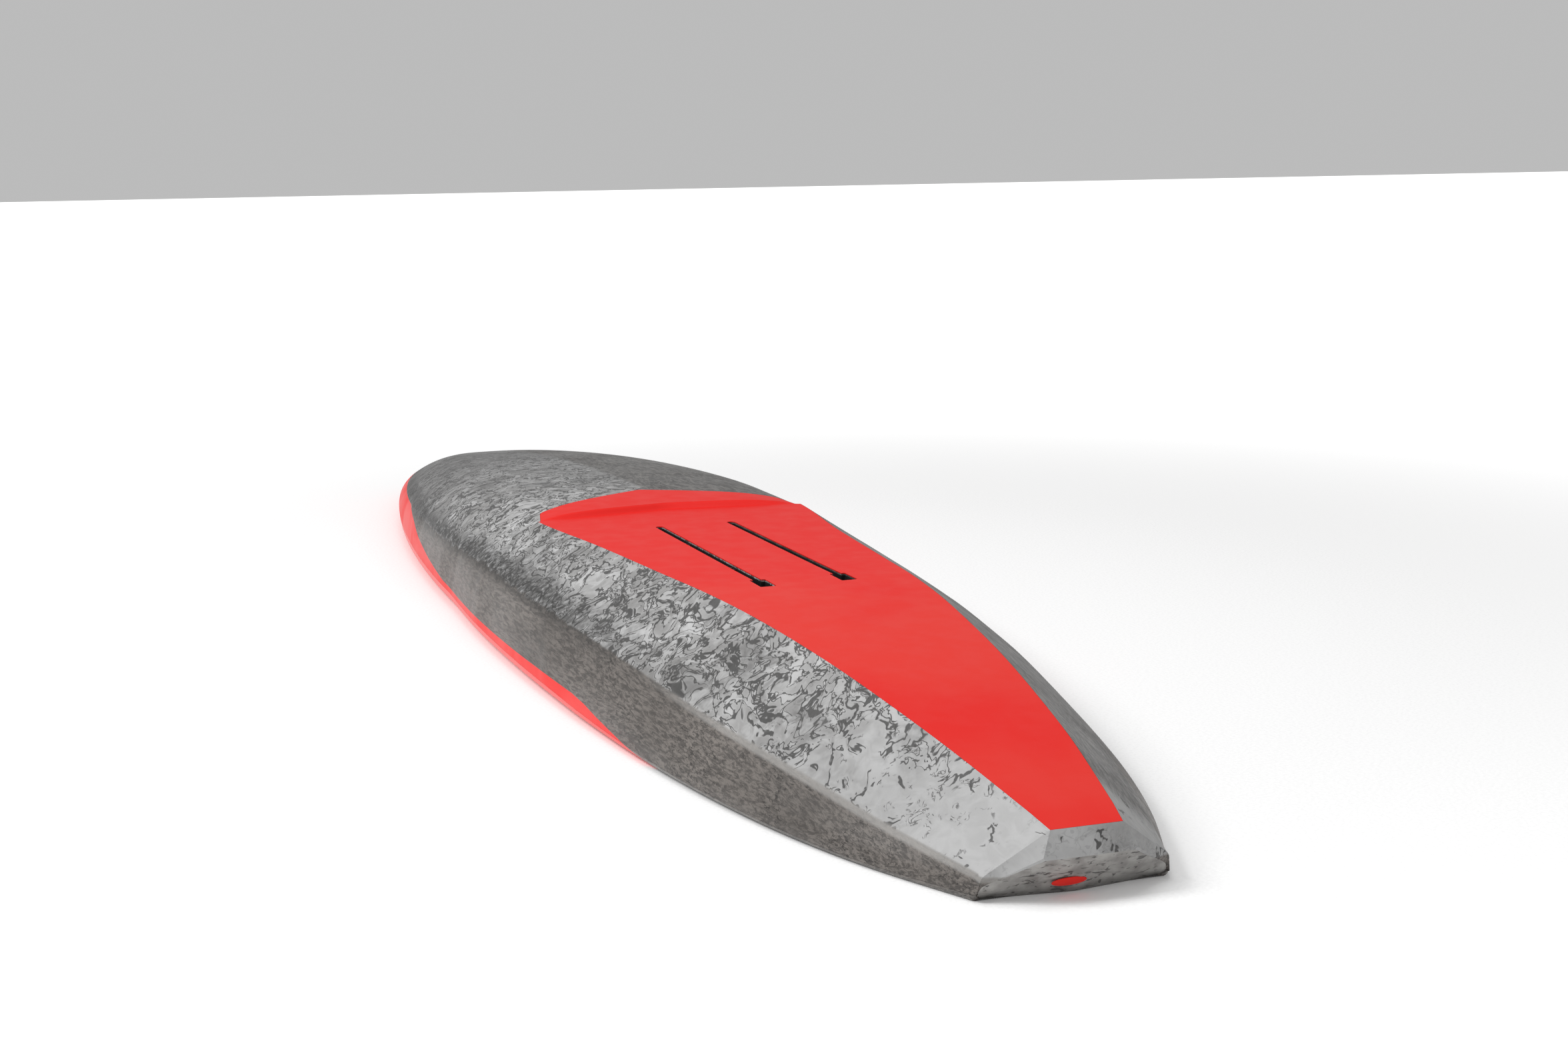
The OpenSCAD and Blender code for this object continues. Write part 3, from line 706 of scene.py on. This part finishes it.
def grained(name, dark, light, rough, scale=400, bump=0.0001, metallic=0.0, stretch=(1, 1, 1), coat=0.0):
    """Plain moulded, brushed or foamed material with a fine grain."""
    m = Mat(name)
    grain = m.noise(scale, 3, 0.6, 0.0, m.scaled(*stretch))
    blotch = m.noise(scale / 12, 2)
    tone = m.math("ADD", m.math("MULTIPLY", grain, 0.6), m.math("MULTIPLY", blotch, 0.4))
    return m.set(
        Base_Color=m.blend(m.map(tone, 0.35, 0.65), dark, light),
        Roughness=m.map(grain, 0.3, 0.7, rough - 0.07, rough + 0.07),
        Metallic=metallic,
        Coat_Weight=coat,
        Normal=m.bump(grain, bump, 0.6),
    )


def wood():
    m = Mat("stringer_wood")
    at = m.scaled(0.5, 8, 8)
    wave = m.noise(26, 4, 0.6, 1.2, at)
    pores = m.map(m.noise(700, 2, 0.5, 0, m.scaled(0.08, 1, 1)), 0.58, 0.7)
    color = m.blend(m.map(wave, 0.3, 0.7), srgb(170, 128, 84), srgb(208, 170, 122))
    return m.set(Base_Color=m.blend(m.math("MULTIPLY", pores, 0.5), color, srgb(120, 84, 52)), Roughness=0.65,
                 Normal=m.bump(pores, -0.0001, 0.4))


def cell_foam(name, dark, light, scale):
    m = Mat(name)
    cells = m.voronoi(scale)
    color = m.blend(m.map(cells, 0.1, 0.6), light, dark)
    return m.set(Base_Color=color, Roughness=0.85, Normal=m.bump(cells, -0.0006, 0.6))


def eva():
    m = Mat("eva_foam")
    cells = m.voronoi(900)
    blotch = m.noise(24, 3)
    color = m.blend(m.map(blotch, 0.3, 0.7), srgb(50, 54, 58), srgb(66, 70, 74))
    color = m.blend(m.map(cells, 0.2, 0.7, 0.25, 0.0), color, srgb(30, 32, 34))
    return m.set(Base_Color=color, Roughness=0.9, Sheen_Weight=0.15, Normal=m.bump(cells, 0.0003, 0.6))


def deck_carbon():
    """Carbon on the rail, red on the deck, parted at the paint line."""
    m = Mat("deck_paint")
    rail, streak = rail_color(m)
    red = m.map(m.attribute("paint"), -0.0003, 0.0003)
    return m.set(
        Base_Color=m.blend(red, rail, red_color(m)),
        Roughness=0.42,
        Coat_Weight=0.3,
        Coat_Roughness=0.2,
        Normal=m.bump(streak, 0.0001, 0.3),
    )


# ---------------------------------------------------------------- pieces that replace CAD solids
skin_mat, red_mat = carbon_skin(), red_paint()

hull_bottom = shell(
    "bottom_skin_fine",
    parted(bottom_rows(0, PANEL + 0.25), 0.1),
    parted(bottom_rows(SKIN, 0), 0.1),
    [(NOSE, 0, TIP_Z + 0.1), (NOSE - SKIN * 1.6, 0, TIP_Z + 0.1)],
)
tidy_mesh(hull_bottom)
cut(hull_bottom, slot_cutters(0.3, 130, 150))
smooth(hull_bottom)
stamp(hull_bottom)
hull_bottom.data.materials.append(skin_mat)
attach(hull_bottom, HULL)
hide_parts("bottom_skin")


def panel_rows(down):
    start = tail_line(CREASE, 0, 0, N_PANEL, 0, 1) + np.array([0.5, 0, -down])
    first = panel_line(STATIONS[0], 0, down, 0.25)
    rows = between_rows(start, first, [0, 0.25, 0.5, 0.75])
    rows += [panel_line(x, 0, down, 0.25) for x in STATIONS if x <= TIP]
    return [over_bottom(r) for r in rows]


panel = shell("red_panel", panel_rows(0), panel_rows(PANEL))
tidy_mesh(panel)
cut(panel, slot_cutters(0.3, 130, 150))
smooth(panel)
panel.data.materials.append(red_mat)
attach(panel, HULL)
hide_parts("bottom_panel")

cup_lo, cup_hi = [tuple(v * 1000 for v in c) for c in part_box("handle_cup")]
leash_lo, leash_hi = [tuple(v * 1000 for v in c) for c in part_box("leash_cup")]
vent_lo, vent_hi = [tuple(v * 1000 for v in c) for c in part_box("vent_insert")]
strap_lo, strap_hi = [tuple(v * 1000 for v in c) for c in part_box("strap_inserts")]
leash_x, vent_x = (leash_lo[0] + leash_hi[0]) / 2, (vent_lo[0] + vent_hi[0]) / 2
strap_xs, strap_ys = (strap_lo[0] + 7, strap_hi[0] - 7), (strap_lo[1] + 7, strap_hi[1] - 7)
strap_places = [(x, y) for x in strap_xs for y in strap_ys]

deck = shell(
    "deck_skin_fine",
    parted(deck_rows(0), -0.1),
    parted(deck_rows(SKIN), -0.1),
    [(NOSE, 0, TIP_Z - 0.1), (NOSE - SKIN * 1.6, 0, TIP_Z - 0.1)],
)
tidy_mesh(deck)
cup_mouth = rounded_box(cup_lo[0] + 4.6, cup_hi[0] - 4.6, cup_lo[1] + 4.6, cup_hi[1] - 4.6, 0.5)
deck_cutters = [prism(cup_mouth, 2, 30)]
deck_cutters.append(prism(circle(leash_x, 0, 12.9), 2, 30))
deck_cutters.append(prism(circle(vent_x, 0, 8.4), 2, 30))
deck_cutters += [prism(circle(x, y, 7.4), 2, 30) for x, y in strap_places]
cut(deck, deck_cutters)
smooth(deck)
stamp(deck)
deck.data.materials.append(deck_carbon())
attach(deck, HULL)
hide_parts("deck_skin")


def transom_piece():
    """Plate that closes the tail flush with the edges of the skins, softly rounded at its rim."""
    ring = np.concatenate([
        tail_line(TRANSOM, 0, 0, 16, 0, 1)[:-1],
        tail_line(TRANSOM, 0, 0, 24, 1, 4, 1.2)[:-1],
        tail_line(TRANSOM, 0, 0, 16, 4, 5),
    ])
    ring = np.concatenate([ring, mirrored(ring[1:-1])[::-1]])
    middle = np.array([-1204.5, 0, 20])
    rings = []
    edge_steps = ((0.0, 3.0), (0.0, 0.9), (0.004, 0.35), (0.014, 0.05))
    for part, push in edge_steps + ((0.03, 0.0), (0.25, 0.0), (0.5, 0), (0.75, 0)):
        level = ring + (middle - ring) * part * np.array([1, 1, 1])
        level = level.copy()
        level[:, 0] += push
        level[:, 1] *= 0.997
        rings.append(level)
    n = len(ring)
    verts = np.concatenate(rings + [middle[None] + [0, 0, 0], middle[None] + [3, 0, 0]])
    faces = []
    for i in range(len(rings) - 1):
        for j in range(n):
            k = (j + 1) % n
            faces.append((i * n + j, i * n + k, (i + 1) * n + k, (i + 1) * n + j))
    last, tip = (len(rings) - 1) * n, len(rings) * n
    faces += [(last + j, last + (j + 1) % n, tip) for j in range(n)]
    faces += [((j + 1) % n, j, tip + 1) for j in range(n)]
    return new_object("transom_fine", verts, faces)


transom = transom_piece()
tidy_mesh(transom)
smooth(transom, 40)
transom.data.materials.append(transom_carbon())
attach(transom, HULL)
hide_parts("transom_skin")


def badge_piece():
    """Low domed oval on the transom."""
    lo, hi = [np.array(c) * 1000 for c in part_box("tail_badge")]
    centre = (lo + hi) / 2
    right = np.array([0.0, 1.0, 0.0])
    up = np.array([-27.0, 0, 40.0]) / math.hypot(27, 40)
    out = np.array([-40.0, 0, -27.0]) / math.hypot(27, 40)
    surface = np.array([-1191 - 27 * centre[2] / 40, centre[1], centre[2]]) + out * 0.15
    half_w, half_h = 15.5, 4.9
    verts, faces, n = [surface + out * 0.55], [], 48
    levels = [(0.5, 0.53), (0.8, 0.47), (0.93, 0.38), (0.985, 0.22), (1.0, 0.0), (1.0, -0.5)]
    for size, height in levels:
        for k in range(n):
            a = 2 * math.pi * k / n
            across, along = half_w * size * math.cos(a), half_h * size * math.sin(a)
            verts.append(surface + right * across + up * along + out * height)
    verts.append(surface - out * 0.5)
    faces += [(0, 1 + k, 1 + (k + 1) % n) for k in range(n)]
    for i in range(len(levels) - 1):
        for k in range(n):
            a, b = 1 + i * n + k, 1 + i * n + (k + 1) % n
            faces.append((a, a + n, b + n, b))
    base = 1 + (len(levels) - 1) * n
    faces += [(len(verts) - 1, base + (k + 1) % n, base + k) for k in range(n)]
    return new_object("badge_fine", verts, faces)


badge = badge_piece()
tidy_mesh(badge)
smooth(badge, 50)
badge.data.materials.append(red_paint("badge_red"))
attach(badge, HULL)
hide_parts("tail_badge")


# ---------------------------------------------------------------- grooved foam pads
def pad_piece(name, node):
    lo, hi = [np.array(c) * 1000 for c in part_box(node)]
    base, face = hi[2], lo[2]
    x1, x2 = lo[0], hi[0]
    xs = np.unique(np.concatenate([
        np.linspace(x1, x1 + 4, 6), np.linspace(x2 - 4, x2, 6),
        np.arange(x1 + 4, x2 - 4, 1.75),
    ]))
    shape = np.concatenate([np.linspace(0, 0.93, 14), [0.955, 0.975, 0.988, 0.995, 1.0]])
    outer, inner = [], []
    for x in xs:
        half = min(deck_w(x) * 0.85, hi[1])
        top, under = [], []
        for s in shape:
            y = s * half
            d = max(0.0, min(x - x1, x2 - x, half - y))
            round_off = 1.8 * (1 - d / 3.0) ** 2 if d < 3 else 0.0
            phase = (x - x1) % 14.0
            groove = 1.3 * math.exp(-(((phase - 7) / 1.5) ** 2)) if d > 9 else 0.0
            centre = 1.3 * math.exp(-((y / 1.6) ** 2)) if d > 9 else 0.0
            top.append((x, y, face + round_off + max(groove, centre)))
            under.append((x, y, base))
        outer.append(over_deck(np.array(top)[::-1]))
        inner.append(over_deck(np.array(under)[::-1]))
    pad = shell(name, outer, inner)
    tidy_mesh(pad)
    return pad


def pad_cutters(node):
    lo, hi = [np.array(c) * 1000 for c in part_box(node)]
    out = []
    if lo[0] < cup_lo[0] and hi[0] > cup_hi[0]:
        out.append(prism(rounded_box(cup_lo[0] - 2, cup_hi[0] + 2, cup_lo[1] - 2, cup_hi[1] + 2, 8), -5, 12))
    if lo[0] < vent_x < hi[0]:
        out.append(prism(circle(vent_x, 0, 14), -5, 12))
    out += [prism(circle(x, y, 7), -5, 12) for x, y in strap_places if lo[0] < x < hi[0]]
    return out


eva_mat = eva()
for pad_node in ("front_pad", "middle_pad", "rear_pad"):
    soft_pad = pad_piece(pad_node + "_foam", pad_node)
    cut(soft_pad, pad_cutters(pad_node))
    smooth(soft_pad, 35)
    soft_pad.data.materials.append(eva_mat)
    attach(soft_pad, HULL)
    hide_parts(pad_node)

# ---------------------------------------------------------------- finishes of the CAD nodes that stay
black = grained("track_black", srgb(10, 10, 11), srgb(24, 24, 26), 0.55, 500, 0.00008)
finishes = {
    "foam_core": cell_foam("core_foam", srgb(214, 208, 194), srgb(238, 234, 224), 700),
    "tail_stringer": wood(),
    "track_block": cell_foam("dense_foam", srgb(196, 172, 104), srgb(220, 200, 140), 1200),
    "deck_stiffener": grained("stiffener_sheet", srgb(170, 164, 148), srgb(196, 192, 178), 0.6, 300, 0.0001,
                              stretch=(0.2, 1, 1)),
    "track_left": black,
    "track_nut_front_left": grained("black_steel", srgb(26, 26, 28), srgb(46, 46, 49), 0.42, 600,
                                    0.00004, 0.8),
    "handle_cup": grained("cup_plastic", srgb(20, 20, 22), srgb(38, 38, 41), 0.5, 900, 0.00012),
    "handle_grip": grained("grip_rubber", srgb(34, 34, 37), srgb(58, 58, 62), 0.8, 500, 0.0003),
    "leash_pin": grained("pin_steel", srgb(150, 152, 156), srgb(204, 206, 210), 0.28, 500, 0.00002, 1.0,
                         stretch=(4, 0.2, 4)),
    "vent_insert": grained("vent_metal", srgb(92, 96, 102), srgb(124, 128, 134), 0.36, 700, 0.00003, 0.9),
    "vent_membrane": grained("membrane", srgb(222, 222, 216), srgb(244, 244, 240), 0.75, 2200, 0.00006),
    "vent_oring": grained("o_ring", srgb(14, 14, 15), srgb(26, 26, 28), 0.5, 900, 0.00003),
    "strap_inserts": grained("insert_brass", srgb(150, 112, 48), srgb(206, 168, 92), 0.35, 500, 0.00003, 1.0),
}
same_as = {
    "nose_stringer": "tail_stringer", "handle_block": "track_block", "strap_blocks": "track_block",
    "vent_block": "track_block", "leash_block": "track_block", "track_right": "track_left",
    "track_nut_rear_left": "track_nut_front_left", "track_nut_front_right": "track_nut_front_left",
    "track_nut_rear_right": "track_nut_front_left", "leash_cup": "handle_cup", "vent_plug": "handle_cup",
}
for node, like in same_as.items():
    finishes[node] = finishes[like]
for node, material in finishes.items():
    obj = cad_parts[node]
    if not obj.data.materials:
        obj.data.materials.append(material)
    for slot in obj.material_slots:
        slot.material = material

# ---------------------------------------------------------------- floor, light and camera
reach = 30000
corners = [(-reach, -reach, 0), (reach, -reach, 0), (reach, reach, 0), (-reach, reach, 0)]
floor = new_object("floor", corners, [(0, 1, 2, 3)])
floor_look = Mat("floor_white")
squares = [floor_look.math("POWER", floor_look.part(axis), 2) for axis in (0, 1)]
radius = floor_look.math("SQRT", floor_look.math("ADD", *squares))
floor_grain = floor_look.map(floor_look.noise(300, 3), 0.3, 0.7)
floor_look.set(
    Base_Color=floor_look.blend(floor_grain, srgb(244, 244, 244), srgb(252, 252, 252)),
    Roughness=0.9,
    Emission_Color=(1, 1, 1, 1),
    Emission_Strength=floor_look.map(radius, 0.9, 3.6, 0.05, 0.8),
)
floor.data.materials.append(floor_look.m)

world = bpy.data.worlds.new("studio")
bpy.context.scene.world = world
world.use_nodes = True
world.node_tree.nodes["Background"].inputs[0].default_value = (1, 1, 1, 1)
world.node_tree.nodes["Background"].inputs[1].default_value = 0.5


def soft_light(name, at, target, size, power):
    data = bpy.data.lights.new(name, "AREA")
    data.shape, data.size, data.energy = "SQUARE", size, power
    lamp = bpy.data.objects.new(name, data)
    bpy.context.scene.collection.objects.link(lamp)
    direction = np.array(target, float) - np.array(at, float)
    direction /= np.linalg.norm(direction)
    side = np.cross(direction, (0, 0, 1))
    side /= np.linalg.norm(side)
    up = np.cross(side, direction)
    m = Matrix(((side[0], up[0], -direction[0], at[0]), (side[1], up[1], -direction[1], at[1]),
                (side[2], up[2], -direction[2], at[2]), (0, 0, 0, 1)))
    lamp.matrix_world = m
    return lamp


soft_light("key", (-0.5, 3.0, 3.0), (-0.1, 0, 0), 1.6, 104)
soft_light("top", (-0.6, 0.4, 4.0), (-0.3, 0.01, 0), 2.2, 36)

yaw, pitch, roll = -0.338470741, 0.166011350, -0.0136799854
fwd = np.array([math.cos(yaw) * math.cos(pitch), math.sin(yaw) * math.cos(pitch), -math.sin(pitch)])
right = np.array([math.sin(yaw), -math.cos(yaw), 0.0])
up = np.cross(right, fwd)
r2 = math.cos(roll) * right + math.sin(roll) * up
u2 = -math.sin(roll) * right + math.cos(roll) * up
cam_data = bpy.data.cameras.new("camera")
cam_data.sensor_width = 36.0
cam_data.lens = 51.326
cam_data.clip_end = 200
camera = bpy.data.objects.new("camera", cam_data)
bpy.context.scene.collection.objects.link(camera)
eye = (-2.7303, 0.7838, 0.5886)
camera.matrix_world = Matrix(((r2[0], u2[0], -fwd[0], eye[0]), (r2[1], u2[1], -fwd[1], eye[1]),
                              (r2[2], u2[2], -fwd[2], eye[2]), (0, 0, 0, 1)))
bpy.context.scene.camera = camera
bpy.context.scene.view_settings.view_transform = "Standard"
